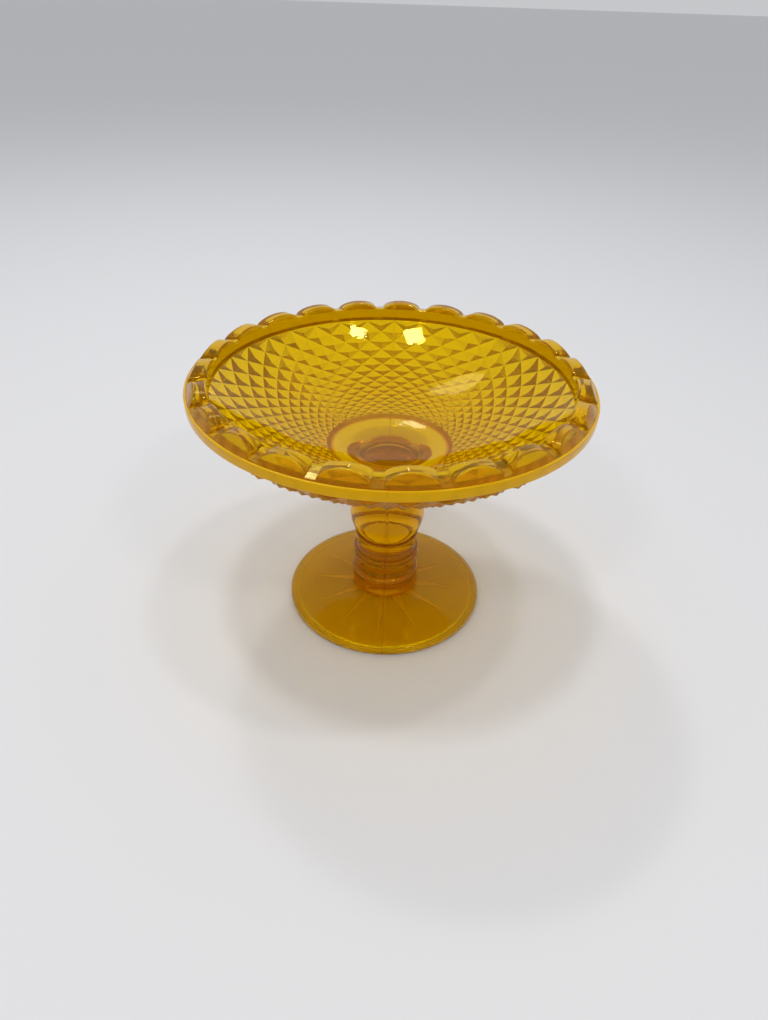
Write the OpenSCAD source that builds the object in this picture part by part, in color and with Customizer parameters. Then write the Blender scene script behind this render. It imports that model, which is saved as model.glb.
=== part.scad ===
// Footed candy dish of pressed amber glass: a shallow bowl with a scalloped
// rim and a field of diamond points, a joining wafer, a knopped stem and a
// round foot. All lengths are in millimetres and the dish stands on z = 0.

/* [Foot] */
// Diameter of the foot
foot_d = 102; // [84:1:120]
// Height of the foot at its outer edge
foot_edge_h = 6; // [5:0.5:8]
// Height of the foot where the stem stands on it
foot_h = 8.5; // [8:0.5:12]
// Thickness of the glass over the hollow underside
foot_wall = 5; // [3.5:0.5:6]
// Width of the flat ring that the dish rests on
rest_w = 3; // [2:0.5:5]
// Height of the hollow just inside the resting ring
hollow_edge_h = 1.2; // [0.6:0.1:1.6]
// Radius of the rounded lower edge outside the resting ring
foot_edge_r = 1.8; // [1:0.2:2.4]
// Number of rays pressed into the underside of the foot
ray_count = 12; // [6:1:16]
// Depth of a ray at its inner end
ray_depth = 1.8; // [1:0.1:2.4]
// Width of a ray at its inner end
ray_w = 7.2; // [4:0.2:9]
// Distance from the axis to the tip of a ray
ray_reach = 36; // [28:1:38]
// Turn of the rays in degrees
ray_turn = 26; // [0:1:60]

/* [Stem] */
// Diameter of the drum at the bottom of the stem
drum_d = 34.8; // [34:0.2:40]
// Height of the drum
drum_h = 11.5; // [9:0.5:13]
// Radius of the rounded upper edge of the drum
drum_edge_r = 2.6; // [1.5:0.1:4]
// Diameter of the column
column_d = 31.6; // [27:0.2:32]
// Height of the column between the drum and the two rings
lower_column_h = 6.3; // [4:0.1:8]
// Diameter of the two rings round the column
ring_d = 34; // [32.6:0.2:38]
// Height of one ring
ring_h = 3; // [2:0.1:4]
// Height of the column between the rings and the bead
upper_column_h = 7.4; // [3:0.1:20]
// Diameter of the ball
knop_d = 37.8; // [34:0.2:44]
// Diameter of the bead under the ball
bead_d = 32.6; // [32:0.2:34]
// Height of the bead under the ball
bead_h = 2.4; // [1.6:0.1:3]
// Diameter of the stem where the wafer joins it
stem_top_d = 25; // [22:0.5:28]

/* [Joining wafer] */
// Diameter of the wafer at its bulge
wafer_d = 28; // [28:0.5:34]
// Height of the wafer
wafer_h = 3.5; // [2.5:0.5:6]

/* [Bowl] */
// Diameter of the bowl at its rim band
bowl_d = 184; // [180:1:200]
// Height of the bowl from the wafer to the lobe tips
bowl_h = 60.2; // [56:0.2:70]
// Depth of the bowl inside, from the foot of the rim's inner face to the bottom
bowl_depth = 28; // [24:0.1:32]
// How sharply the inside turns up towards the rim
bowl_curve = 2.5; // [2.2:0.1:2.8]
// Upright thickness of the wall under the rim
wall_rim = 7.8; // [6:0.1:9]
// Upright thickness that the wall grows to at the middle
wall_middle = 11.2; // [9:0.1:13]
// Height of the step from the diamond field down to the collar
collar_step_h = 3.5; // [2:0.5:5]
// Width of that step
collar_step_w = 1.2; // [0.8:0.1:2]
// How late the collar turns down towards the wafer
collar_curve = 3; // [2:0.5:4]

/* [Rim] */
// Number of lobes round the rim
lobe_count = 23; // [18:1:28]
// Height of a lobe's tip above the ledge at its foot
lobe_h = 5.4; // [4.5:0.1:6.5]
// Share of the pitch that one lobe takes up
lobe_width_share = 0.82; // [0.7:0.02:0.94]
// Share of the lobe's height that a notch cuts down at the inner face
notch_inner_share = 0.56; // [0.4:0.02:0.6]
// Share of the lobe's height that a notch cuts down at the outer face
notch_outer_share = 0.9; // [0.7:0.02:0.94]
// Radius of the rounded edges of a lobe
lobe_edge_r = 1.4; // [0.5:0.1:1.6]
// How far a lobe's outer face leans in over its height
face_lean = 2.8; // [1.5:0.1:3.4]
// Width of the ledge under the lobes
ledge_w = 0.9; // [0.6:0.1:1.5]
// Thickness of the rim from its inner face to the band
rim_t = 10.2; // [9:0.2:12]
// Height of the rim's inner face below the notches
inner_face_h = 6.1; // [5:0.1:8]
// Height of the smooth band round the rim
band_h = 4.5; // [3.5:0.1:5.5]
// Width of the bevel along both edges of the band
band_edge_w = 0.4; // [0.2:0.1:0.6]
// Turn of the lobes in degrees
lobe_turn = 9.4; // [0:0.1:15]

/* [Diamond points] */
// Number of points in one row
point_count = 36; // [30:1:40]
// Number of rows
row_count = 18; // [12:1:20]
// Radius at which the lowest row ends
field_inner_r = 31; // [28:1:40]
// Width of the smooth strip between the band and the top row
field_margin = 5.5; // [4:0.5:7]
// Height of a point in the top row
point_h = 2.4; // [1.5:0.1:3]
// Turn of the points in degrees
point_turn = 0; // [0:0.1:5]

/* [Hidden] */

amber = [0.78, 0.56, 0.02];
deep_amber = [0.66, 0.44, 0.01];

// Foot: places worked out from its sizes
foot_r = foot_d / 2;
foot_shoulder_r = foot_edge_h / 2;
rest_outer_r = foot_r - foot_edge_r;
rest_inner_r = rest_outer_r - rest_w;
foot_hollow_top_z = foot_h - foot_wall;
ray_start_share = 1 / 3;
ray_tip_share = 1 / 12;
ray_inner_r = ray_start_share * drum_d / 2;
shoulder_turn = 80;

// Stem: places counted up from its own bottom
drum_r = drum_d / 2;
drum_foot_r = drum_edge_r / 2;
column_r = column_d / 2;
drum_edge_turn = acos(max(0, column_r - drum_r + drum_edge_r) / drum_edge_r);
ring_r = ring_d / 2;
ring_round_r = ring_h / 2;
rings_bottom_z = drum_h + lower_column_h;
rings_top_z = rings_bottom_z + 2 * ring_h;
stem_top_r = stem_top_d / 2;
bead_r = bead_d / 2;
bead_round_r = bead_h / 2;
bead_z = rings_top_z + upper_column_h;
knop_r = knop_d / 2;
neck_r = bead_r - bead_round_r;
knop_z = bead_z + bead_h + sqrt(knop_r * knop_r - neck_r * neck_r);
stem_h = knop_z + sqrt(knop_r * knop_r - stem_top_r * stem_top_r);

// Heights at which the pieces meet
stem_z = foot_h;
wafer_z = stem_z + stem_h;
bowl_z = wafer_z + wafer_h;
rim_top_z = bowl_z + bowl_h;

// Rim: places worked out from its sizes
bowl_r = bowl_d / 2;
lobe_pitch = 360 / lobe_count;
ledge_z = rim_top_z - lobe_h;
ledge_r = bowl_r - ledge_w;
band_low_z = ledge_z - band_h;
inner_r = bowl_r - rim_t;
crease_z = rim_top_z - notch_inner_share * lobe_h - inner_face_h;
floor_z = crease_z - bowl_depth;
round_share = 1 - sqrt(1 / 2);

// Points: rows shrink by one ratio from the top row to the lowest
field_outer_r = bowl_r - field_margin;
row_ratio = pow(field_inner_r / field_outer_r, 1 / row_count);

// Collar: the smooth pad from the lowest row in to the wafer
collar_r = field_inner_r - collar_step_w;
collar_z = outside_z(field_inner_r) - collar_step_h;
seat_r = wafer_d / 2 - wafer_h / 2;

// Fineness of the meshes
columns = 2 * point_count;
half_lobe_steps = 4;
lobe_columns = 2 * half_lobe_steps + 2;
rim_columns = lobe_columns * lobe_count;
inner_rings = 9;
collar_rings = 6;
round_steps = 8;
turn_steps = 96;

// Points of an arc round [x, y] from angle a to angle b
function arc_points(x, y, r, a, b, steps) = [
    for (i = [0:steps])
        let (t = a + (b - a) * i / steps)
            [x + r * cos(t), y + r * sin(t)]
];

// A ring of points at radius r and height z, the first one turned by turn
function ring_points(r, z, count, turn) = [
    for (i = [0:count - 1])
        let (t = turn + 360 * i / count)
            [r * cos(t), r * sin(t), z]
];

// Height of the hollow under the foot at radius r
function hollow_z(r) =
    foot_hollow_top_z - (foot_hollow_top_z - hollow_edge_h) * pow(r / rest_inner_r, 2);

// Outline of the foot: the hollow underside, the flat ring, the rounded edge
// and the rising top
function foot_outline() = concat(
    [
        for (i = [0:round_steps])
            let (r = rest_inner_r * i / round_steps)
                [r, hollow_z(r)]
    ],
    [[rest_inner_r, 0]],
    arc_points(rest_outer_r, foot_edge_r, foot_edge_r, -90, 0, round_steps),
    arc_points(
        foot_r - foot_shoulder_r, foot_edge_h - foot_shoulder_r,
        foot_shoulder_r, 0, shoulder_turn, round_steps
    ),
    [[drum_r, foot_h], [0, foot_h]]
);

// One ray is a slim pyramid laid along the hollow with one edge upwards, so
// that it cuts a valley that narrows and runs out at its tip
module ray_cut() {
    run = ray_reach - ray_inner_r;
    drop = hollow_z(ray_inner_r) - hollow_z(ray_reach);
    translate([ray_inner_r, 0, hollow_z(ray_inner_r)])
        rotate([0, 90 + atan(drop / run), 0])
            scale([ray_depth, ray_w / 2, 1])
                cylinder(h = norm([run, drop]), r1 = 1, r2 = ray_tip_share, $fn = 4);
}

module foot() {
    color(deep_amber)
        difference() {
            rotate_extrude($fn = turn_steps)
                polygon(foot_outline());
            for (i = [0:ray_count - 1])
                rotate([0, 0, ray_turn + 360 * i / ray_count])
                    ray_cut();
        }
}

// Outline of one round bead or ring: its outer half circle
function bead_points(r, round_r, low_z) = arc_points(
    r - round_r, low_z + round_r, round_r, -90, 90, round_steps
);

// Outline of the stem from the bottom: drum, column, two rings, column, bead
// and ball
function stem_outline() = concat(
    [[0, 0]],
    arc_points(drum_r - drum_foot_r, drum_foot_r, drum_foot_r, -90, 0, round_steps / 2),
    arc_points(
        drum_r - drum_edge_r, drum_h - drum_edge_r, drum_edge_r,
        0, drum_edge_turn, round_steps
    ),
    [[column_r, drum_h], [column_r, rings_bottom_z]],
    bead_points(ring_r, ring_round_r, rings_bottom_z),
    bead_points(ring_r, ring_round_r, rings_bottom_z + ring_h),
    [[column_r, rings_top_z], [column_r, bead_z]],
    bead_points(bead_r, bead_round_r, bead_z),
    arc_points(
        0, knop_z, knop_r, -acos(neck_r / knop_r), acos(stem_top_r / knop_r),
        2 * round_steps
    ),
    [[0, stem_h]]
);

module stem() {
    color(deep_amber)
        translate([0, 0, stem_z])
            rotate_extrude($fn = turn_steps)
                polygon(stem_outline());
}

// The wafer is a small disc of glass with a round edge between stem and bowl
module joining_wafer() {
    color(deep_amber)
        translate([0, 0, wafer_z])
            rotate_extrude($fn = turn_steps)
                polygon(concat(
                    [[0, 0]],
                    bead_points(wafer_d / 2, wafer_h / 2, 0),
                    [[0, wafer_h]]
                ));
}

// Height of the smooth inside at radius r
function inside_z(r) = floor_z + bowl_depth * pow(r / inner_r, bowl_curve);

// Slope of the inside at radius r, as an angle
function inside_lean(r) =
    atan(bowl_depth * bowl_curve / inner_r * pow(r / inner_r, bowl_curve - 1));

// Height of the outside between the points at radius r
function outside_z(r) =
    inside_z(r) - wall_rim - (wall_middle - wall_rim) * pow(1 - r / bowl_r, 2);

// Place across a lobe, from -1 to 1, of its column k. The columns stand at
// even steps round the lobe's arch, and the last one runs down the notch
function lobe_place(k) = k > 2 * half_lobe_steps
    ? 1
    : lobe_width_share * sin(90 * (k - half_lobe_steps) / half_lobe_steps);

// Share of the full height that the arch has at place u
function arch_share(u) = sqrt(max(0, 1 - pow(u / lobe_width_share, 2)));

// Angle round the dish of rim column i
function rim_angle(i) = let (lobe = floor(i / lobe_columns))
    lobe_turn + lobe_pitch * (lobe + lobe_place(i - lobe * lobe_columns) / 2);

// Radius of the lobes' outer face at height z
function face_r(z) = ledge_r - face_lean * (z - ledge_z) / lobe_h;

// Section through the rim at place u: from the foot of the inner face over
// the lobe, down its outer face, over the ledge and down the band
function rim_section(u) = let (
    fall = lobe_h * (1 - arch_share(u)),
    inner_z = rim_top_z - notch_inner_share * fall,
    outer_z = rim_top_z - notch_outer_share * fall,
    round_r = lobe_edge_r * (outer_z - ledge_z) / lobe_h,
    inner_cut = lobe_edge_r * round_share,
    outer_cut = round_r * round_share
) [
    [inner_r, crease_z],
    [inner_r, inner_z - lobe_edge_r],
    [inner_r + inner_cut, inner_z - inner_cut],
    [inner_r + lobe_edge_r, inner_z],
    [face_r(outer_z) - round_r, outer_z],
    [face_r(outer_z) - outer_cut, outer_z - outer_cut],
    [face_r(outer_z - round_r), outer_z - round_r],
    [ledge_r, ledge_z],
    [bowl_r - band_edge_w, ledge_z],
    [bowl_r, ledge_z - band_edge_w],
    [bowl_r, band_low_z + band_edge_w],
    [bowl_r - band_edge_w, band_low_z]
];

// Ring k of the rim: point k of the section at every column
function rim_ring(k) = [
    for (i = [0:rim_columns - 1])
        let (
            t = rim_angle(i),
            p = rim_section(lobe_place(i % lobe_columns))[k]
        )
            [p[0] * cos(t), p[0] * sin(t), p[1]]
];

// One row of the diamond field: every second vertex is a point's tip, and
// the rows are turned against each other by half a pitch
function field_row(row) = let (
    r = field_outer_r * pow(row_ratio, row),
    rise = row == 0 || row == row_count ? 0 : point_h * r / field_outer_r
) [
    for (i = [0:columns - 1])
        let (
            t = point_turn + 360 * i / columns,
            tip = (i + row) % 2 == 0 ? 0 : rise,
            tip_r = r + tip * sin(inside_lean(r)),
            tip_z = outside_z(r) - tip * cos(inside_lean(r))
        )
            [tip_r * cos(t), tip_r * sin(t), tip_z]
];

// Ring i of the smooth collar from the foot of the step down to the wafer
function collar_ring(i) = let (
    s = i / collar_rings,
    r = collar_r + (seat_r - collar_r) * s,
    z = collar_z - (collar_z - bowl_z) * pow(s, collar_curve)
) ring_points(r, z, columns, point_turn);

// Faces between two rings of columns that start at indices a and b
function strip(a, b, count) = [
    for (i = [0:count - 1])
        let (j = (i + 1) % count)
            each [[a + i, a + j, b + j], [a + i, b + j, b + i]]
];

// The same, with the diagonals along the valleys between the points
function field_strip(a, b, row) = [
    for (i = [0:columns - 1])
        let (j = (i + 1) % columns)
            each (i + row) % 2 == 0
                ? [[a + i, a + j, b + j], [a + i, b + j, b + i]]
                : [[a + i, a + j, b + i], [a + j, b + j, b + i]]
];

// Coarse column nearest to the middle of the step after rim column i
function nearest_column(i) = let (
    t = (rim_angle(i) + rim_angle(i + 1)) / 2 - point_turn,
    k = round(t * columns / 360)
) (k + columns) % columns;

// Faces from a rim ring to a ring of the coarse columns
function stitch(a, b) = [
    for (i = [0:rim_columns - 1])
        let (
            j = (i + 1) % rim_columns,
            near = b + nearest_column(i),
            next = b + nearest_column(j)
        )
            each near == next
                ? [[a + i, a + j, near]]
                : [[a + i, a + j, near], [a + j, next, near]]
];

function flipped(faces) = [for (f = faces) [f[0], f[2], f[1]]];

// The bowl is one closed mesh. Its rings of points run from the middle of
// the inside out over the rim and back under the diamond field
module bowl() {
    rim_size = len(rim_section(0));
    inside_start = 1;
    rim_start = inside_start + (inner_rings - 1) * columns;
    field_start = rim_start + rim_size * rim_columns;
    collar_start = field_start + row_count * columns;
    seat_start = collar_start + (collar_rings + 1) * columns;
    points = concat(
        [[0, 0, floor_z]],
        [
            for (k = [1:inner_rings - 1])
                let (r = inner_r * k / inner_rings)
                    each ring_points(r, inside_z(r), columns, point_turn)
        ],
        [for (k = [0:rim_size - 1]) each rim_ring(k)],
        [for (row = [0:row_count]) each field_row(row)],
        [for (i = [0:collar_rings]) each collar_ring(i)]
    );
    faces = concat(
        [for (i = [0:columns - 1]) [0, inside_start + (i + 1) % columns, inside_start + i]],
        [
            for (k = [0:inner_rings - 3])
                each strip(
                    inside_start + k * columns,
                    inside_start + (k + 1) * columns,
                    columns
                )
        ],
        flipped(stitch(rim_start, rim_start - columns)),
        [
            for (k = [0:rim_size - 2])
                each strip(
                    rim_start + k * rim_columns,
                    rim_start + (k + 1) * rim_columns,
                    rim_columns
                )
        ],
        stitch(field_start - rim_columns, field_start),
        [
            for (row = [0:row_count - 1])
                each field_strip(
                    field_start + row * columns,
                    field_start + (row + 1) * columns,
                    row
                )
        ],
        [
            for (i = [0:collar_rings])
                each strip(
                    collar_start + i * columns,
                    collar_start + (i + 1) * columns,
                    columns
                )
        ],
        [[for (i = [0:columns - 1]) seat_start + i]]
    );
    color(amber)
        polyhedron(points = points, faces = faces);
}

foot();
stem();
joining_wafer();
bowl();
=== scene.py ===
"""A footed candy dish of pressed amber glass on a plain pale floor.

Each piece of the dish is a class that holds its sizes in metres, builds its
mesh with bmesh operators and dresses it in glass.
"""

import logging
import math
from collections.abc import Callable
from dataclasses import dataclass
from enum import Enum

import bmesh
import bpy
from mathutils import Matrix, Vector


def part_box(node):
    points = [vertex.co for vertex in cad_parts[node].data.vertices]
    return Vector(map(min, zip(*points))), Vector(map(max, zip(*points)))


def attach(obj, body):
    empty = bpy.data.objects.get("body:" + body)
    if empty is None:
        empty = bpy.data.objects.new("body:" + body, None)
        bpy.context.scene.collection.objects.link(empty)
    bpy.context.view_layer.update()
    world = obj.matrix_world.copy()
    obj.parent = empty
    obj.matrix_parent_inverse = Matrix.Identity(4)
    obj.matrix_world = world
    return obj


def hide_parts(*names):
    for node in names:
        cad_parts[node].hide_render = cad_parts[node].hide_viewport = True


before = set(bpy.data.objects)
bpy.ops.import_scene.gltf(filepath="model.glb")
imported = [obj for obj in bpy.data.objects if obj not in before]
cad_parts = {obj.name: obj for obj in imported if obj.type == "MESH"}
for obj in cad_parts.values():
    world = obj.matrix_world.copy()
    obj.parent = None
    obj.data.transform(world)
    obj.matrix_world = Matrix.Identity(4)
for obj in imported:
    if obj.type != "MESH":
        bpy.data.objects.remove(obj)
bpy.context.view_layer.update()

log = logging.getLogger("candy_dish")

Point = tuple[float, float]
Colour = tuple[float, float, float]
Edge = bmesh.types.BMEdge
Face = bmesh.types.BMFace
Part = bmesh.types.BMVert | Edge | Face
TURN = 2 * math.pi

# Sizes in metres that two pieces share
DRUM_RADIUS = 0.0174
DRUM_EDGE = 0.0026
WAFER_RADIUS = 0.014


class Mark(Enum):
    """What a face of the glass can be marked as for the finish.

    A joint is fused to the next piece, a moulded face shows the mould's seam as a
    ridge painted with shade, a frosted one is rough, a clouded one is dull amber
    and a shaded one is painted darker as shade.
    """

    JOINT = "joint"
    MOULDED = "moulded"
    FROSTED = "frosted"
    CLOUDED = "clouded"
    SHADED = "shaded"


def arc(centre: Point, radius: float, start: float, end: float, steps: int) -> list[Point]:
    """Walk along an arc in the plane of radius and height.

    Args:
        centre: Radius and height of the arc's middle.
        radius: Radius of the arc.
        start: First angle in degrees, 0 pointing outwards and 90 up.
        end: Last angle in degrees.
        steps: Number of steps between the two.

    Returns:
        The points from start to end, both included.
    """
    angles = [math.radians(start + (end - start) * i / steps) for i in range(steps + 1)]
    return [
        (centre[0] + radius * math.cos(a), centre[1] + radius * math.sin(a)) for a in angles
    ]


def bead(outer_r: float, height: float, low_z: float, steps: int) -> list[Point]:
    """Outline of a ring with a half-round edge.

    Args:
        outer_r: Radius of the ring at its bulge.
        height: Height of the ring.
        low_z: Height of its lower side.
        steps: Number of steps round the edge.

    Returns:
        The points of the half circle from the lower side to the upper one.
    """
    half = height / 2
    return arc((outer_r - half, low_z + half), half, -90, 90, steps)


def line(start: Point, end: Point, steps: int) -> list[Point]:
    """Walk along a straight line in the plane of radius and height.

    Args:
        start: Where the line starts, which is left out.
        end: Where it ends, which is kept.
        steps: Number of steps between the two.

    Returns:
        The points after the start, up to the end.
    """
    return [
        (start[0] + (end[0] - start[0]) * i / steps, start[1] + (end[1] - start[1]) * i / steps)
        for i in range(1, steps + 1)
    ]


def around(radius: float, turn: float, height: float) -> Vector:
    """Give the place at a radius, a turn in radians and a height."""
    return Vector((radius * math.cos(turn), radius * math.sin(turn), height))


def middle_of(face: Face) -> Point:
    """Give the radius and the height of the middle of a face."""
    middle = face.calc_center_median()
    return middle.xy.length, middle.z


def add_object(name: str, data: bpy.types.ID) -> bpy.types.Object:
    """Make an object of a mesh, a lamp or a camera and link it to the scene."""
    made = bpy.data.objects.new(name, data)
    bpy.context.scene.collection.objects.link(made)
    return made


class GlassMesh:
    """A mesh in the making, with the marks that the glass finish reads.

    Corners that lie within reach of each other, in metres, are welded.
    """

    reach: float = 0.000001

    def __init__(self) -> None:
        """Start an empty mesh."""
        self.bm = bmesh.new()
        self.layers = {mark: self.bm.faces.layers.float.new(mark.value) for mark in Mark}

    def lathe(self, outline: list[Point], steps: int) -> None:
        """Spin an outline once round the axis of the dish.

        Args:
            outline: Radius and height of each point, in order.
            steps: Number of steps of the full turn.
        """
        verts = [self.bm.verts.new((r, 0, z)) for r, z in outline]
        edges = [self.bm.edges.new(pair) for pair in zip(verts, verts[1:])]
        bmesh.ops.spin(
            self.bm,
            geom=verts + edges,
            cent=(0, 0, 0),
            axis=(0, 0, 1),
            angle=TURN,
            steps=steps,
            use_merge=True,
        )

    def patch(
        self, columns: int, rows: int, place: Callable[[int, int], Vector]
    ) -> list[Part]:
        """Make a grid and put each of its corners in place.

        Args:
            columns: Number of corners one way.
            rows: Number of corners the other way.
            place: Gives the place of the corner in a column and a row.

        Returns:
            All parts of the grid.
        """
        made = bmesh.ops.create_grid(
            self.bm, x_segments=columns - 1, y_segments=rows - 1, size=1
        )["verts"]
        for number, vert in enumerate(made):
            vert.co = place(number % columns, number // columns)
        faces = {face for vert in made for face in vert.link_faces}
        edges = {edge for face in faces for edge in face.edges}
        return list(made) + list(edges) + list(faces)

    def repeat_round(self, geom: list[Part], count: int) -> None:
        """Copy a sector round the axis until it closes.

        Args:
            geom: The sector.
            count: Number of sectors in the full turn.
        """
        bmesh.ops.spin(
            self.bm,
            geom=geom,
            cent=(0, 0, 0),
            axis=(0, 0, 1),
            angle=TURN * (count - 1) / count,
            steps=count - 1,
            use_duplicate=True,
        )

    def weld(self) -> None:
        """Merge the corners that share a place."""
        bmesh.ops.remove_doubles(self.bm, verts=self.bm.verts[:], dist=self.reach)

    def border(self) -> list[Edge]:
        """List the edges that border only one face."""
        return [edge for edge in self.bm.edges if edge.is_boundary]

    def close(self) -> None:
        """Weld the whole mesh, turn its faces outwards and report any gap."""
        self.weld()
        bmesh.ops.recalc_face_normals(self.bm, faces=self.bm.faces[:])
        log.info("open edges left: %d", len(self.border()))

    def mark(self, mark: Mark, wanted: Callable[[Face], bool], amount: float = 1.0) -> None:
        """Set a mark on each face that is wanted.

        Args:
            mark: The mark.
            wanted: Says of a face whether it gets the mark.
            amount: How strong the mark is, from 0 to 1.
        """
        layer = self.layers[mark]
        for face in self.bm.faces:
            if wanted(face):
                face[layer] = amount

    def finish(self, name: str, sharp_angle: float) -> bpy.types.Object:
        """Turn the bmesh into an object of the scene.

        Args:
            name: Name of the new object.
            sharp_angle: Angle in degrees above which an edge stays sharp.

        Returns:
            The object, at the origin of the frame.
        """
        limit = math.radians(sharp_angle)
        for face in self.bm.faces:
            face.smooth = True
        for edge in self.bm.edges:
            edge.smooth = edge.calc_face_angle(0) < limit
        mesh = bpy.data.meshes.new(name)
        self.bm.to_mesh(mesh)
        self.bm.free()
        return add_object(name, mesh)


class Value:
    """A value in a shader, which is reckoned with like a Python number."""

    def __init__(self, tree: "Tree", socket: bpy.types.NodeSocket | None) -> None:
        """Wrap the output socket of a node, or None for a node without one."""
        self.tree = tree
        self.socket = socket

    def _math(self, operation: str, *values: "Value | float") -> "Value":
        """Add a Math node that works on some values."""
        return self.tree.node("ShaderNodeMath", {"operation": operation}, dict(enumerate(values)))

    def __add__(self, other: "Value | float") -> "Value":
        """Add."""
        return self._math("ADD", self, other)

    __radd__ = __add__

    def __mul__(self, other: "Value | float") -> "Value":
        """Multiply."""
        return self._math("MULTIPLY", self, other)

    __rmul__ = __mul__

    def __sub__(self, other: "Value | float") -> "Value":
        """Subtract a value from this one."""
        return self._math("SUBTRACT", self, other)

    def __rsub__(self, other: float) -> "Value":
        """Subtract this value from a number."""
        return self._math("SUBTRACT", other, self)

    def __truediv__(self, other: "Value | float") -> "Value":
        """Divide this value by another."""
        return self._math("DIVIDE", self, other)

    def __rtruediv__(self, other: float) -> "Value":
        """Divide a number by this value."""
        return self._math("DIVIDE", other, self)

    def size(self) -> "Value":
        """Give the value without its sign."""
        return self._math("ABSOLUTE", self)

    def kept(self) -> "Value":
        """Keep the value between 0 and 1."""
        return self.tree.node(
            "ShaderNodeMath", {"operation": "ADD", "use_clamp": True}, {0: self, 1: 0.0}
        )


@dataclass
class Tree:
    """The node tree of one material."""

    material: bpy.types.Material

    def __post_init__(self) -> None:
        """Start from an empty tree."""
        self.material.use_nodes = True
        self.nodes = self.material.node_tree.nodes
        self.links = self.material.node_tree.links
        self.nodes.clear()

    def node(
        self,
        kind: str,
        settings: dict[str, object] | None = None,
        inputs: dict[str | int, object] | None = None,
    ) -> Value:
        """Add a node.

        Args:
            kind: Type of the node.
            settings: Its own settings, set before its sockets.
            inputs: What goes into each input, by its name or number.

        Returns:
            The node's first output.
        """
        made = self.nodes.new(kind)
        for name, value in (settings or {}).items():
            setattr(made, name, value)
        for name, value in (inputs or {}).items():
            if isinstance(value, Value):
                self.links.new(value.socket, made.inputs[name])
            else:
                made.inputs[name].default_value = value
        return Value(self, made.outputs[0] if made.outputs else None)

    def output(self, value: Value, name: str | int) -> Value:
        """Give another output of the node that a value comes from."""
        return Value(self, value.socket.node.outputs[name])

    def blend(self, share: Value, first: "Value | tuple", second: "Value | tuple") -> Value:
        """Mix two colours.

        Args:
            share: Share of the second colour.
            first: The colour where the share is 0.
            second: The colour where the share is 1.

        Returns:
            The mixed colour.
        """
        # Sockets of this node share their names, so numbers pick the colours
        mixed = self.node(
            "ShaderNodeMix", {"data_type": "RGBA"}, {0: share, 6: first, 7: second}
        )
        return self.output(mixed, 2)

    def noise(self, place: Value, scale: float, detail: float) -> Value:
        """Add a soft random pattern.

        Args:
            place: The place on the piece.
            scale: How many blotches of it lie along a metre, about.
            detail: How many finer layers it has.

        Returns:
            The pattern, from 0 to 1.
        """
        inputs = {"Vector": place, "Scale": scale, "Detail": detail}
        return self.node("ShaderNodeTexNoise", None, inputs)

    def mark(self, mark: Mark) -> Value:
        """Read a mark that the mesh carries on its faces."""
        read = self.node("ShaderNodeAttribute", {"attribute_name": mark.value})
        return self.output(read, "Fac")


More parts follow.
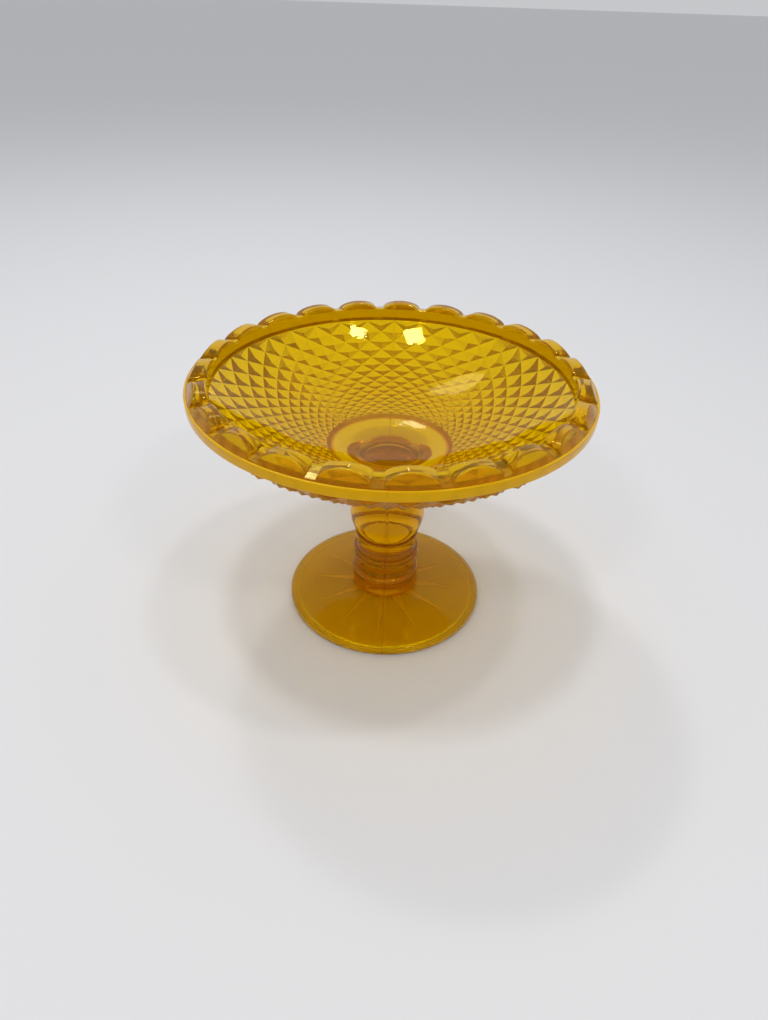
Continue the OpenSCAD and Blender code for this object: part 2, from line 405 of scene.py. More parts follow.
@dataclass(frozen=True)
class AmberGlass:
    """Pressed amber glass, coloured all through."""

    name: str = "amber_glass"
    # Colour of the light that passes through, and of the surface; shade is the colour of painted
    # shade
    passed: Colour = (0.985, 0.955, 0.0)
    density: float = 400.0
    clean: Colour = (0.98, 0.69, 0.0)
    dusty: Colour = (0.95, 0.63, 0.0)
    shade: Colour = (0.7, 0.36, 0.0)
    cloudy: Colour = (1.0, 0.58, 0.0)
    sheen: Colour = (1.0, 0.86, 0.13)
    # How clear and how smooth it is
    clearness: float = 0.93
    ior: float = 1.5
    polish: float = 0.012
    smudge: float = 0.05
    smudge_start: float = 0.55
    smudge_gain: float = 3.0
    frost: float = 0.35
    cloud_roughness: float = 0.3
    # Heights and widths in metres
    wave_height: float = 0.00013
    ripple_height: float = 0.000025
    seam_height: float = 0.00016
    seam_width: float = 0.0005
    # Fineness of the patterns
    wave_scale: float = 55.0
    ripple_scale: float = 420.0
    smudge_scale: float = 38.0
    dust_scale: float = 90.0

    def make(self) -> bpy.types.Material:
        """Build the material.

        Returns:
            A material that bends light at the surface and takes blue and some
            green off it inside. Faces marked as a joint let light straight on,
            and clouded ones are a dull amber.
        """
        material = bpy.data.materials.new(self.name)
        tree = Tree(material)
        place = tree.output(tree.node("ShaderNodeTexCoord"), "Object")
        seam = self.seam(tree, place)
        film = self.film(tree, place, seam)
        height = self.relief(tree, place, seam)
        normal = tree.node(
            "ShaderNodeBump", None, {"Strength": 1.0, "Distance": 1.0, "Height": height}
        )
        shared = {"IOR": self.ior, "Specular Tint": (*self.sheen, 1.0), "Normal": normal}
        glass = tree.node(
            "ShaderNodeBsdfPrincipled",
            None,
            shared
            | {
                "Base Color": film,
                "Roughness": self.wear(tree, place),
                "Transmission Weight": self.clearness,
            },
        )
        cloud = tree.node(
            "ShaderNodeBsdfPrincipled",
            None,
            shared | {"Base Color": (*self.cloudy, 1.0), "Roughness": self.cloud_roughness},
        )
        clear = tree.node("ShaderNodeBsdfTransparent")
        body = tree.node(
            "ShaderNodeMixShader", None, {0: tree.mark(Mark.CLOUDED), 1: glass, 2: cloud}
        )
        surface = tree.node(
            "ShaderNodeMixShader", None, {0: tree.mark(Mark.JOINT), 1: body, 2: clear}
        )
        inside = tree.node(
            "ShaderNodeVolumeAbsorption",
            None,
            {"Color": (*self.passed, 1.0), "Density": self.density},
        )
        tree.node("ShaderNodeOutputMaterial", None, {"Surface": surface, "Volume": inside})
        return material

    def seam(self, tree: Tree, place: Value) -> Value:
        """How near a place lies to the seam that the mould left, from 0 to 1.

        Args:
            tree: The tree of the material.
            place: The place on the piece.

        Returns:
            1 on the seam, falling to 0 at its edges.
        """
        split = tree.node("ShaderNodeSeparateXYZ", None, {0: place})
        across = tree.output(split, "X").size()
        return (1 - across / self.seam_width).kept() * tree.mark(Mark.MOULDED)

    def relief(self, tree: Tree, place: Value, seam: Value) -> Value:
        """Height of the waves that pressing left and of the mould's seam.

        Args:
            tree: The tree of the material.
            place: The place on the piece.
            seam: How near the place lies to the seam.

        Returns:
            The height in metres.
        """
        wave = tree.noise(place, self.wave_scale, detail=1.0)
        ripple = tree.noise(place, self.ripple_scale, detail=2.0)
        return wave * self.wave_height + ripple * self.ripple_height + seam * self.seam_height

    def wear(self, tree: Tree, place: Value) -> Value:
        """Roughness with faint smudges from hands, and ground where it rests.

        Args:
            tree: The tree of the material.
            place: The place on the piece.

        Returns:
            The roughness.
        """
        smudge = tree.noise(place, self.smudge_scale, detail=4.0)
        patches = ((smudge - self.smudge_start) * self.smudge_gain).kept()
        ground = tree.mark(Mark.FROSTED) * self.frost
        return patches * self.smudge + self.polish + ground

    def film(self, tree: Tree, place: Value, seam: Value) -> Value:
        """Colour of the surface: clear, with a breath of dust, and painted shade.

        The painted shade darkens the mould's seam and the faces marked shaded.

        Args:
            tree: The tree of the material.
            place: The place on the piece.
            seam: How near the place lies to the seam.

        Returns:
            The colour.
        """
        dust = tree.noise(place, self.dust_scale, detail=3.0)
        surface = tree.blend(dust, (*self.clean, 1.0), (*self.dusty, 1.0))
        # Painted shade: the seam and the faces marked shaded are darkened towards the shade colour
        shade = (seam + tree.mark(Mark.SHADED)).kept()
        return tree.blend(shade, surface, (*self.shade, 1.0))


@dataclass(frozen=True)
class PaleFloor:
    """A matt pale floor that reaches out of the picture."""

    name: str = "pale_floor"
    colour: Colour = (0.74, 0.74, 0.75)
    roughness: float = 0.9
    half_width: float = 40.0

    def make(self) -> bpy.types.Object:
        """Build the floor.

        Returns:
            The floor's object.
        """
        material = bpy.data.materials.new(self.name)
        tree = Tree(material)
        paint = tree.node(
            "ShaderNodeBsdfPrincipled",
            None,
            {"Base Color": (*self.colour, 1.0), "Roughness": self.roughness},
        )
        tree.node("ShaderNodeOutputMaterial", None, {"Surface": paint})
        bm = bmesh.new()
        bmesh.ops.create_grid(bm, x_segments=1, y_segments=1, size=self.half_width)
        mesh = bpy.data.meshes.new(self.name)
        bm.to_mesh(mesh)
        bm.free()
        mesh.materials.append(material)
        return add_object(self.name, mesh)


@dataclass
class Piece:
    """A piece of glass that stands for one solid of the frame.

    Its sizes are in metres and its angles in degrees. The solid is named by
    node, hair is the gap that keeps the skins of touching pieces apart, and
    an edge with more than sharp_angle stays sharp.
    """

    node: str = ""
    hair: float = 0.00001
    sharp_angle: float = 40.0

    def settle(self, piece: bpy.types.Object, glass: bpy.types.Material) -> bpy.types.Object:
        """Dress a piece, hide the solid that it stands for and attach it to the root body.

        Args:
            piece: The new object.
            glass: Its material.

        Returns:
            The same object.
        """
        piece.data.materials.append(glass)
        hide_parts(self.node)
        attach(piece, "root")
        return piece


@dataclass
class Foot(Piece):
    """The round foot with its hollow, rayed underside."""

    node: str = "foot"
    sharp_angle: float = 28.0
    # Top and edge
    radius: float = 0.051
    edge_height: float = 0.006
    height: float = 0.0085
    edge_round: float = 0.0018
    shoulder_width: float = 0.008
    shoulder_turn: float = 80.0
    drum_radius: float = DRUM_RADIUS
    drum_edge: float = DRUM_EDGE
    # Hollow, and the ring round it that the dish stands on
    wall: float = 0.005
    hollow_edge: float = 0.0012
    rest_width: float = 0.003
    rest_bevel: float = 0.0001
    # Rays
    ray_count: int = 12
    ray_turn: float = 26.0
    ray_depth: float = 0.0018
    ray_width: float = 0.0072
    ray_start: float = 0.0058
    ray_reach: float = 0.036
    ray_tip_share: float = 0.0833
    ray_room_share: float = 0.9
    # How clouded the faces are, and how much painted shade they get, from 0 to 1
    cloud: float = 0.35
    top_cloud: float = 0.18
    ray_cloud: float = 0.8
    ray_shade: float = 0.25
    flank_shade: float = 1.0
    # Fineness of the mesh
    steps: int = 192
    arc_steps: int = 12
    shoulder_steps: int = 18
    ray_rings: int = 16
    hollow_rings: int = 4

    def __post_init__(self) -> None:
        """Work out the radii of the hollow and of the joint with the stem."""
        self.inner = self.radius - self.edge_round - self.rest_width
        self.joint_radius = self.drum_radius - self.drum_edge / 2

    def outline(self) -> list[Point]:
        """Outline from the edge of the hollow round to the top's middle."""
        inner = self.inner
        bevel = self.rest_bevel
        lowest = 2 * self.hair
        edge = self.edge_round
        return (
            [(inner, self.hollow(inner)), (inner + bevel, bevel), (inner + 3 * bevel, lowest)]
            + arc((self.radius - edge, edge + lowest), edge, -90, 0, self.arc_steps)
            + self.top()
            + [(self.joint_radius, self.height), (0, self.height)]
        )

    def top(self) -> list[Point]:
        """Outline of the shoulder and of the top that rises to the drum."""
        drop = self.edge_height / 2
        stretch = self.shoulder_width / drop
        middle = (self.radius - drop, self.edge_height - drop)
        quarter = arc(middle, drop, 0, self.shoulder_turn, self.shoulder_steps)
        shoulder = [(self.radius + (r - self.radius) * stretch, z) for r, z in quarter]
        low_r, low_z = shoulder[-1]
        steps = self.arc_steps
        rise = [
            (
                low_r + (self.drum_radius - low_r) * i / steps,
                low_z + (self.height - low_z) * math.sin(math.pi / 2 * i / steps),
            )
            for i in range(1, steps + 1)
        ]
        return shoulder + rise

    def hollow(self, radius: float) -> float:
        """Height of the hollow underside at a radius."""
        top = self.height - self.wall
        return top - (top - self.hollow_edge) * (radius / self.inner) ** 2

    def ray(self, radius: float) -> Point:
        """Size of a ray where it cuts the underside at a radius.

        Args:
            radius: The radius.

        Returns:
            Half of its width and its depth, both 0 where there is no ray.
        """
        along = (radius - self.ray_start) / (self.ray_reach - self.ray_start)
        if not 0 <= along <= 1:
            return 0.0, 0.0
        share = 1 - along * (1 - self.ray_tip_share)
        ends = (self.hollow(self.ray_start), self.hollow(self.ray_reach))
        chord = ends[0] + (ends[1] - ends[0]) * along
        depth = self.ray_depth * share - self.hollow(radius) + chord
        return self.ray_width / 2 * depth / self.ray_depth, depth

    def radii(self) -> list[float]:
        """Radii of the rings of the underside, from its middle outwards."""
        reach = self.ray_reach - self.ray_start
        rest = self.inner - self.ray_reach
        return (
            [0, self.ray_start / 2, self.ray_start - self.hair]
            + [self.ray_start + reach * i / self.ray_rings for i in range(self.ray_rings + 1)]
            + [self.ray_reach + self.hair]
            + [self.ray_reach + rest * i / self.hollow_rings for i in range(1, self.hollow_rings + 1)]
        )

    def corner(self, across: float, radius: float) -> Vector:
        """Place of a corner of the underside.

        Args:
            across: Place across the sector of one ray, from -1 to 1.
            radius: The radius.

        Returns:
            The place, lifted where it lies on the ray.
        """
        room = math.pi / self.ray_count
        half, depth = self.ray(radius)
        turn = across * room
        lift = 0.0
        if depth > 0:
            # Half of the corners lie on the ray, the rest on the hollow beside it
            edge = min(half / radius, self.ray_room_share * room)
            on_ray = min(1.0, 2 * abs(across))
            beyond = max(0.0, 2 * abs(across) - 1)
            turn = math.copysign(edge * on_ray + (room - edge) * beyond, across)
            lift = max(0.0, depth * (1 - abs(turn) * radius / half))
        return around(radius, turn + math.radians(self.ray_turn), self.hollow(radius) + lift)

    def underside(self, mesh: GlassMesh) -> None:
        """Make one ray with the hollow round it and repeat it round the foot."""
        radii = self.radii()
        columns = self.steps // self.ray_count
        sector = mesh.patch(
            columns + 1,
            len(radii),
            lambda column, row: self.corner(2 * column / columns - 1, radii[row]),
        )
        mesh.repeat_round(sector, self.ray_count)

    def build(self, glass: bpy.types.Material) -> bpy.types.Object:
        """Spin the foot and press the rays into it.

        Args:
            glass: The material of the piece.

        Returns:
            The finished piece.
        """
        mesh = GlassMesh()
        mesh.lathe(self.outline(), self.steps)
        turned = Matrix.Rotation(math.radians(self.ray_turn), 3, "Z")
        bmesh.ops.rotate(mesh.bm, verts=mesh.bm.verts[:], cent=(0, 0, 0), matrix=turned)
        self.underside(mesh)
        mesh.close()
        mesh.mark(Mark.JOINT, self.is_joint)
        mesh.mark(Mark.MOULDED, self.is_moulded)
        mesh.mark(Mark.FROSTED, self.is_rest)
        mesh.mark(Mark.CLOUDED, self.is_hollow, self.cloud)
        mesh.mark(Mark.CLOUDED, self.is_top, self.top_cloud)
        mesh.mark(Mark.CLOUDED, self.is_ray, self.ray_cloud)
        # Painted shade on the rays, darkest low on their flanks
        mesh.mark(Mark.SHADED, self.is_ray, self.ray_shade)
        mesh.mark(Mark.SHADED, self.is_flank, self.flank_shade)
        return self.settle(mesh.finish("dish_foot", self.sharp_angle), glass)

    def is_joint(self, face: Face) -> bool:
        """Say whether a face lies where the stem is joined on."""
        radius, height = middle_of(face)
        return height > self.height - self.hair and radius < self.joint_radius

    def is_moulded(self, face: Face) -> bool:
        """Say whether a face lies above the rounded lower edge."""
        return middle_of(face)[1] > self.edge_round

    def is_rest(self, face: Face) -> bool:
        """Say whether a face lies in the flat ring that the dish stands on."""
        return middle_of(face)[1] < 3 * self.hair

    def is_hollow(self, face: Face) -> bool:
        """Say whether a face lies in the hollow underside."""
        radius, height = middle_of(face)
        return radius < self.inner and height < self.height - self.wall + self.ray_depth

    def is_top(self, face: Face) -> bool:
        """Say whether a face lies on the top or the edge of the foot."""
        return middle_of(face)[1] > self.edge_height / 2 and not self.is_hollow(face)

    def is_ray(self, face: Face) -> bool:
        """Say whether a face lies on a ray of the underside."""
        return self.is_hollow(face) and self.lift(face) > 5 * self.hair

    def is_flank(self, face: Face) -> bool:
        """Say whether a face lies low on the flank of a ray."""
        depth = self.ray(middle_of(face)[0])[1]
        return self.is_ray(face) and self.lift(face) < depth / 2

    def lift(self, face: Face) -> float:
        """How far the middle of a face lies above the plain hollow."""
        radius, height = middle_of(face)
        return height - self.hollow(radius)


@dataclass
class Stem(Piece):
    """The stem: drum, column with two rings, bead and ball."""

    node: str = "stem"
    # Drum
    drum_radius: float = DRUM_RADIUS
    drum_height: float = 0.0115
    drum_edge: float = DRUM_EDGE
    # Column with its rings
    column_radius: float = 0.0158
    lower_column: float = 0.0063
    ring_radius: float = 0.017
    ring_height: float = 0.003
    upper_column: float = 0.0074
    waist_depth: float = 0.0004
    # Bead and ball
    bead_radius: float = 0.0163
    bead_height: float = 0.0024
    ball_radius: float = 0.0189
    top_radius: float = 0.0125
    # Fineness of the mesh
    steps: int = 160
    foot_steps: int = 10
    arc_steps: int = 12
    waist_steps: int = 8
    ball_steps: int = 44

    def __post_init__(self) -> None:
        """Work out the heights that follow from the sizes."""
        self.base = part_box(self.node)[0].z
        self.rings_low = self.drum_height + self.lower_column
        self.rings_top = self.rings_low + 2 * self.ring_height
        self.bead_low = self.rings_top + self.upper_column
        self.neck = self.bead_radius - self.bead_height / 2
        neck_drop = math.sqrt(self.ball_radius**2 - self.neck**2)
        self.ball_middle = self.bead_low + self.bead_height + neck_drop
        self.height = self.ball_middle + math.sqrt(self.ball_radius**2 - self.top_radius**2)

    def outline(self) -> list[Point]:
        """Outline from the middle of the bottom up to the middle of the top."""
        edge = self.drum_edge
        foot = edge / 2
        edge_turn = math.degrees(math.acos((self.column_radius - self.drum_radius + edge) / edge))
        ball_start = -math.degrees(math.acos(self.neck / self.ball_radius))
        ball_end = math.degrees(math.acos(self.top_radius / self.ball_radius))
        upper_ring = self.rings_low + self.ring_height
        steps = self.arc_steps
        points = (
            [(0, self.hair)]
            + arc((self.drum_radius - foot, foot + self.hair), foot, -90, 0, self.foot_steps)
            + arc((self.drum_radius - edge, self.drum_height - edge), edge, 0, edge_turn, steps)
            + self.waist(self.drum_height, self.rings_low)
            + bead(self.ring_radius, self.ring_height, self.rings_low, steps)
            + bead(self.ring_radius, self.ring_height, upper_ring, steps)
            + self.waist(self.rings_top, self.bead_low)
            + bead(self.bead_radius, self.bead_height, self.bead_low, steps)
            + arc((0, self.ball_middle), self.ball_radius, ball_start, ball_end, self.ball_steps)
            + [(0, self.height)]
        )
        return [(r, self.base + z) for r, z in points]

    def waist(self, low: float, high: float) -> list[Point]:
        """A stretch of the column that draws in a little between its ends.

        Args:
            low: Height of its lower end.
            high: Height of its upper end.

        Returns:
            The points from the lower end to the upper one.
        """
        shares = [i / self.waist_steps for i in range(self.waist_steps + 1)]
        return [
            (
                self.column_radius - self.waist_depth * math.sin(math.pi * share),
                low + (high - low) * share,
            )
            for share in shares
        ]

    def build(self, glass: bpy.types.Material) -> bpy.types.Object:
        """Spin the stem.

        Args:
            glass: The material of the piece.

        Returns:
            The finished piece.
        """
        mesh = GlassMesh()
        mesh.lathe(self.outline(), self.steps)
        mesh.close()
        mesh.mark(Mark.JOINT, self.is_joint)
        mesh.mark(Mark.MOULDED, lambda face: True)
        return self.settle(mesh.finish("dish_stem", self.sharp_angle), glass)

    def is_joint(self, face: Face) -> bool:
        """Say whether a face lies in the flat bottom or the flat top."""
        heights = [vert.co.z for vert in face.verts]
        low = self.base + 2 * self.hair
        high = self.base + self.height - self.hair
        return max(heights) < low or min(heights) > high


@dataclass
class JoiningWafer(Piece):
    """The small disc of glass between the stem and the bowl."""

    node: str = "joining_wafer"
    radius: float = WAFER_RADIUS
    # Share of its flat ends that is fused clear; the rest is clouded
    fused: float = 0.85
    # Fineness of the mesh
    steps: int = 128
    arc_steps: int = 16

    def build(self, glass: bpy.types.Material) -> bpy.types.Object:
        """Spin the wafer.

        Args:
            glass: The material of the piece.

        Returns:
            The finished piece.
        """
        low, high = (corner.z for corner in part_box(self.node))
        low += self.hair
        edge = bead(self.radius, high - low, low, self.arc_steps)
        mesh = GlassMesh()
        mesh.lathe([(0, low)] + edge + [(0, high)], self.steps)
        mesh.close()
        mesh.mark(Mark.JOINT, self.is_joint, self.fused)
        mesh.mark(Mark.CLOUDED, self.is_joint)
        return self.settle(mesh.finish("dish_joining_wafer", self.sharp_angle), glass)

    def is_joint(self, face: Face) -> bool:
        """Say whether a face lies in one of the two flat ends."""
        heights = [vert.co.z for vert in face.verts]
        return max(heights) - min(heights) < self.hair


@dataclass
class Bowl(Piece):
    """The bowl with its lobed rim and the diamond points under it."""

    node: str = "bowl"
    sharp_angle: float = 24.0
    # Inside and wall
    radius: float = 0.092
    depth: float = 0.028
    curve: float = 2.5
    wall_rim: float = 0.0078
    wall_middle: float = 0.0112
    # Lobes, and the band under them
    lobe_count: int = 23
    lobe_turn: float = 9.4
    lobe_height: float = 0.0054
    lobe_share: float = 0.82
    lobe_edge: float = 0.0014
    notch_inner_share: float = 0.56
    notch_outer_share: float = 0.9
    face_lean: float = 0.0028
    ledge: float = 0.0009
    rim_width: float = 0.0102
    inner_face: float = 0.0061
    band_height: float = 0.0045
    band_bevel: float = 0.0004
    # Diamond points
    point_count: int = 36
    row_count: int = 18
    field_inner: float = 0.031
    field_margin: float = 0.0055
    point_height: float = 0.0024
    # Collar
    collar_step: float = 0.0035
    collar_step_width: float = 0.0012
    collar_step_turn: float = 20.0
    collar_curve: float = 3.0
    # How frosted or clouded the faces are, from 0 to 1
    point_frost: float = 0.6
    lobe_frost: float = 0.5
    band_cloud: float = 0.5
    step_cloud: float = 0.7
    # Fineness of the mesh
    lobe_steps: int = 24
    notch_steps: int = 2
    edge_steps: int = 5
    wall_steps: int = 4
    bevel_steps: int = 3
    inside_rings: int = 36
    collar_steps: int = 144
    step_steps: int = 6
    flare_steps: int = 20

    def __post_init__(self) -> None:
        """Work out the places that follow from the sizes."""
        self.base, self.top = (corner.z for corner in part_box(self.node))
        wafer_low, wafer_top = (corner.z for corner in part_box("joining_wafer"))
        self.seat_radius = WAFER_RADIUS - (wafer_top - wafer_low) / 2
        self.inner = self.radius - self.rim_width
        self.ledge_z = self.top - self.lobe_height
        self.band_low = self.ledge_z - self.band_height
        self.crease = self.top - self.notch_inner_share * self.lobe_height - self.inner_face
        self.floor = self.crease - self.depth
        self.field_outer = self.radius - self.field_margin
        self.shrink = (self.field_inner / self.field_outer) ** (1 / self.row_count)

    def inside(self, radius: float) -> float:
        """Height of the smooth inside at a radius."""
        return self.floor + self.depth * (radius / self.inner) ** self.curve

    def lean(self, radius: float) -> float:
        """Slope of the inside at a radius, as an angle."""
        rise = self.depth * self.curve / self.inner
        return math.atan(rise * (radius / self.inner) ** (self.curve - 1))

    def outside(self, radius: float) -> float:
        """Height of the outside between the points at a radius."""
        extra = (self.wall_middle - self.wall_rim) * (1 - radius / self.radius) ** 2
        return self.inside(radius) - self.wall_rim - extra

    def section(self, across: float) -> list[Point]:
        """Section through the rim, from the inner face over a lobe to the band.

        Args:
            across: Place across the lobe, from -1 to 1 at the notches.

        Returns:
            The points, always the same number of them.
        """
        arch = math.sqrt(max(0.0, 1 - (across / self.lobe_share) ** 2))
        fall = self.lobe_height * (1 - arch)
        inner_z = self.top - self.notch_inner_share * fall
        outer_z = self.top - self.notch_outer_share * fall
        edge = self.lobe_edge
        rounding = edge * (outer_z - self.ledge_z) / self.lobe_height
        outer = (self.face(outer_z) - rounding, outer_z - rounding)
        lean = math.degrees(math.atan(self.face_lean / self.lobe_height))
        inner_arc = arc((self.inner + edge, inner_z - edge), edge, 180, 90, self.edge_steps)
        outer_arc = arc(outer, rounding, 90, lean, self.edge_steps)
        crease = (self.inner, self.crease)
        wall = [crease] + line(crease, inner_arc[0], self.wall_steps)[:-1]
        crown = line(inner_arc[-1], outer_arc[0], self.edge_steps)[:-1]
        ledge = (self.radius - self.ledge, self.ledge_z)
        outer_face = line(outer_arc[-1], ledge, self.wall_steps)
        return wall + inner_arc + crown + outer_arc + outer_face + self.band()

    def band(self) -> list[Point]:
        """Section through the band, from its upper bevel to its lower one."""
        bevel = self.band_bevel
        upper = (self.radius - bevel, self.ledge_z - bevel)
        lower = (self.radius - bevel, self.band_low + bevel)
        steps = self.bevel_steps
        return arc(upper, bevel, 90, 0, steps) + arc(lower, bevel, 0, -90, steps)

    def face(self, z: float) -> float:
        """Radius of the lobes' outer face at a height."""
        low = self.radius - self.ledge
        return low - self.face_lean * (z - self.ledge_z) / self.lobe_height

    def across(self, column: int) -> float:
        """Place across a lobe of a column of the mesh, from notch to notch.

        Args:
            column: Number of the column, from 0 to the number of steps.

        Returns:
            The place, from -1 to 1.
        """
        steps = self.lobe_steps - 2 * self.notch_steps
        inner = column - self.notch_steps
        notch = 1 - self.lobe_share
        if inner < 0:
            return -1 + notch * column / self.notch_steps
        if inner > steps:
            return 1 - notch * (self.lobe_steps - column) / self.notch_steps
        return self.lobe_share * math.sin(math.pi * (inner / steps - 0.5))

    def lobe_sector(self, mesh: GlassMesh) -> None:
        """Make one lobe with the inside below it and repeat it round the rim."""
        radii = [self.inner * i / self.inside_rings for i in range(self.inside_rings)]
        inside = [(radius, self.inside(radius)) for radius in radii]
        places = [self.across(column) for column in range(self.lobe_steps + 1)]
        sections = [inside + self.section(across) for across in places]
        start = math.radians(self.lobe_turn)
        turns = [start + math.pi / self.lobe_count * across for across in places]

        def place(column: int, row: int) -> Vector:
            """Give the place of a corner of the sector."""
            radius, height = sections[column][row]
            return around(radius, turns[column], height)

        sector = mesh.patch(len(sections), len(sections[0]), place)
        mesh.repeat_round(sector, self.lobe_count)

    def valley(self, row: int, turn: float) -> Vector:
        """Place where two valleys cross, some half rows in from the field's edge."""
        radius = self.field_outer * self.shrink**row
        return around(radius, turn, self.outside(radius))

    def point_sector(self, mesh: GlassMesh) -> list[Part]:
        """Make a column of diamonds and the column between, before their points.

        Args:
            mesh: The mesh to build in.

        Returns:
            The sector, with a half diamond at each end.
        """
        half = math.pi / self.point_count
        faces = []
        for row in range(self.row_count + 1):
            for column in (0, 1):
                if (row + column) % 2 == 0:
                    continue
                turn = column * half
                ring = [
                    self.valley(max(row - 1, 0), turn),
                    self.valley(row, turn + half),
                    self.valley(min(row + 1, self.row_count), turn),
                    self.valley(row, turn - half),
                ]
                faces.append(mesh.bm.faces.new([mesh.bm.verts.new(p) for p in ring]))
        verts = {vert for face in faces for vert in face.verts}
        edges = {edge for face in faces for edge in face.edges}
        return list(verts) + list(edges) + faces

    def collar(self) -> list[Point]:
        """Outline of the smooth collar from the diamond field to the joint."""
        low = self.base + self.hair
        edge = self.field_inner - self.collar_step_width
        top = self.outside(self.field_inner)
        foot = top - self.collar_step
        rounding = self.collar_step_width / 2
        middle = (edge - rounding, foot + rounding)
        step = [(self.field_inner, top)]
        step += arc(middle, rounding, self.collar_step_turn, -90, self.step_steps)
        start = step[-1][0]
        shares = [i / self.flare_steps for i in range(1, self.flare_steps + 1)]
        flare = [
            (
                start + (self.seat_radius - start) * share,
                foot - (foot - low) * share**self.collar_curve,
            )
            for share in shares
        ]
        return step + flare + [(0, low)]

    def build(self, glass: bpy.types.Material) -> bpy.types.Object:
        """Build the bowl from its rim, its inside and its diamond field.

        Args:
            glass: The material of the piece.

        Returns:
            The finished piece.
        """
        mesh = GlassMesh()
        mesh.repeat_round(self.point_sector(mesh), self.point_count)
        mesh.weld()
        halfway = (self.field_outer + self.field_inner) / 2
        inner_border = [e for e in mesh.border() if e.verts[0].co.xy.length < halfway]
        self.raise_points(mesh)
        self.round_off(mesh, inner_border)
        mesh.lathe(self.collar(), self.collar_steps)
        self.lobe_sector(mesh)
        mesh.weld()
        bmesh.ops.bridge_loops(mesh.bm, edges=mesh.border())
        mesh.close()
        mesh.mark(Mark.JOINT, self.is_joint)
        mesh.mark(Mark.MOULDED, self.is_moulded)
        mesh.mark(Mark.FROSTED, self.is_point, self.point_frost)
        mesh.mark(Mark.FROSTED, self.is_lobe_face, self.lobe_frost)
        mesh.mark(Mark.CLOUDED, self.is_band, self.band_cloud)
        mesh.mark(Mark.CLOUDED, self.is_step, self.step_cloud)
        return self.settle(mesh.finish("dish_bowl", self.sharp_angle), glass)

    def raise_points(self, mesh: GlassMesh) -> None:
        """Raise the middle of each flat diamond to a point."""
        for tip in bmesh.ops.poke(mesh.bm, faces=mesh.bm.faces[:])["verts"]:
            radius = tip.co.xy.length
            lift = self.point_height * radius / self.field_outer
            lean = self.lean(radius)
            stretch = 1 + lift * math.sin(lean) / radius
            tip.co.x *= stretch
            tip.co.y *= stretch
            tip.co.z = self.outside(radius) - lift * math.cos(lean)

    def round_off(self, mesh: GlassMesh, edges: list[Edge]) -> None:
        """Halve the edges where the field ends, so that the collar fits them.

        Args:
            mesh: The mesh that holds them.
            edges: The edges of the field's inner border.
        """
        for part in bmesh.ops.subdivide_edges(mesh.bm, edges=edges, cuts=1)["geom_inner"]:
            if isinstance(part, bmesh.types.BMVert):
                stretch = self.field_inner / part.co.xy.length
                part.co.x *= stretch
                part.co.y *= stretch

    def is_joint(self, face: Face) -> bool:
        """Say whether a face lies where the wafer is joined on."""
        return max(vert.co.z for vert in face.verts) < self.base + 2 * self.hair

    def is_moulded(self, face: Face) -> bool:
        """Say whether a face lies on the outside, which the mould shaped."""
        radius, height = middle_of(face)
        return radius > self.radius - self.ledge or height < self.inside(radius) - self.hair

    def is_point(self, face: Face) -> bool:
        """Say whether a face belongs to a diamond point."""
        radius = middle_of(face)[0]
        return self.field_inner < radius < self.field_outer and self.is_moulded(face)

    def is_lobe_face(self, face: Face) -> bool:
        """Say whether a face lies on the outer face of a lobe."""
        radius, height = middle_of(face)
        return height > self.ledge_z and radius > self.face(self.top) - self.ledge

    def is_band(self, face: Face) -> bool:
        """Say whether a face lies on the smooth band round the rim."""
        radius, height = middle_of(face)
        return radius > self.radius - self.ledge and self.band_low < height < self.ledge_z

    def is_step(self, face: Face) -> bool:
        """Say whether a face lies on the step of the collar."""
        radius, height = middle_of(face)
        inner = self.field_inner - 2 * self.collar_step_width
        top = self.outside(self.field_inner)
        low = top - self.collar_step - self.hair
        return inner < radius < self.field_inner and low < height < top


@dataclass(frozen=True)
class Lamp:
    """A soft panel over the dish: one rectangle, or layers of smaller and smaller ovals."""

    place: tuple[float, float, float]
    width: float
    length: float
    power: float
    layers: int = 1

    def hang(self, name: str, target: Vector) -> None:
        """Hang the panel and turn it to the dish.

        Args:
            name: Name of its lamps, which the number of the layer is added to.
            target: The place that it faces.
        """
        spot = Vector(self.place)
        turned = (spot - target).to_track_quat("Z", "Y").to_matrix().to_4x4()
        for layer in range(self.layers):
            size = 1 - layer / self.layers
            lamp = bpy.data.lights.new(f"{name}_{layer}", "AREA")
            lamp.shape = "ELLIPSE" if self.layers > 1 else "RECTANGLE"
            lamp.size = self.width * size
            lamp.size_y = self.length * size
            lamp.energy = self.power / self.layers
            holder = add_object(lamp.name, lamp)
            holder.matrix_world = Matrix.Translation(spot) @ turned


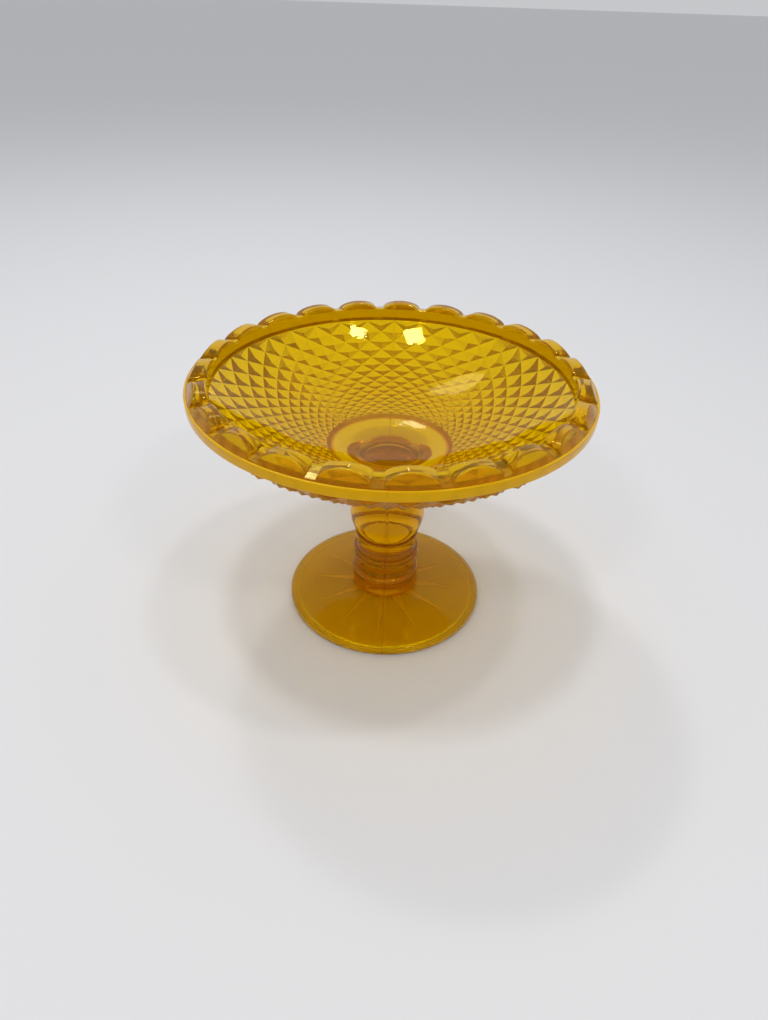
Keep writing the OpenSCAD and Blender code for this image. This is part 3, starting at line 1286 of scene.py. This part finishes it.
@dataclass
class Studio:
    """Floor, lamps, sky and camera."""

    # Lens
    focal_pixels: float = 720.0
    picture_height: float = 1020.0
    sensor: float = 36.0
    nearest: float = 0.01
    # Camera, fitted to the photograph
    pitch: float = 35.49
    roll: float = 1.94
    yaw: float = -0.315
    camera_height: float = 0.2665
    camera_distance: float = 0.2999
    # Light, with the lamps' places and sizes in metres and their power in watts
    sky: Colour = (0.96, 0.97, 1.0)
    sky_strength: float = 0.59
    lamps: tuple[Lamp, ...] = (
        Lamp((-0.15, -0.03, 1.38), width=0.15, length=0.13, power=2.8),
        Lamp((0.26, -0.02, 1.35), width=0.09, length=0.1, power=1.6),
        Lamp((-0.31, 0.6, 1.15), width=0.34, length=0.19, power=2.4, layers=5),
        Lamp((-0.03, 1.05, 0.88), width=0.032, length=0.08, power=0.1, layers=3),
        Lamp((-0.46, -0.74, 1.0), width=0.16, length=0.1, power=1.3),
        Lamp((0.51, -0.7, 1.0), width=0.16, length=0.1, power=1.3),
    )
    aimed_height: float = 0.1

    def build(self) -> None:
        """Set the whole studio up."""
        PaleFloor().make()
        self.light()
        self.aim()
        bpy.context.scene.view_settings.view_transform = "Standard"

    def light(self) -> None:
        """Hang the soft panels over the dish and light the sky."""
        for number, lamp in enumerate(self.lamps):
            lamp.hang(f"ceiling_panel_{number}", Vector((0, 0, self.aimed_height)))
        world = bpy.data.worlds.new("pale_sky")
        world.use_nodes = True
        background = world.node_tree.nodes["Background"]
        background.inputs["Color"].default_value = (*self.sky, 1.0)
        background.inputs["Strength"].default_value = self.sky_strength
        bpy.context.scene.world = world

    def aim(self) -> None:
        """Place the camera at the photograph's viewing angle."""
        pitch, roll, yaw = (math.radians(a) for a in (self.pitch, self.roll, self.yaw))
        ahead = Vector(
            (
                math.sin(yaw) * math.cos(pitch),
                math.cos(yaw) * math.cos(pitch),
                -math.sin(pitch),
            )
        )
        right = Vector((math.cos(yaw), -math.sin(yaw), 0))
        up = right.cross(ahead)
        across = math.cos(roll) * right + math.sin(roll) * up
        upright = -math.sin(roll) * right + math.cos(roll) * up
        turned = Matrix((across, upright, -ahead)).transposed().to_4x4()
        lens = bpy.data.cameras.new("viewer")
        lens.sensor_width = self.sensor
        lens.lens = self.focal_pixels / self.picture_height * self.sensor
        lens.clip_start = self.nearest
        holder = add_object("viewer", lens)
        spot = Vector((0, -self.camera_distance, self.camera_height))
        holder.matrix_world = Matrix.Translation(spot) @ turned
        bpy.context.scene.camera = holder


def main() -> None:
    """Build the dish and its studio."""
    logging.basicConfig(level=logging.INFO, format="%(message)s")
    Studio().build()
    glass = AmberGlass().make()
    for piece in (Foot(), Stem(), JoiningWafer(), Bowl()):
        built = piece.build(glass)
        log.info("%s: %d faces", built.name, len(built.data.polygons))


if __name__ == "__main__":
    main()
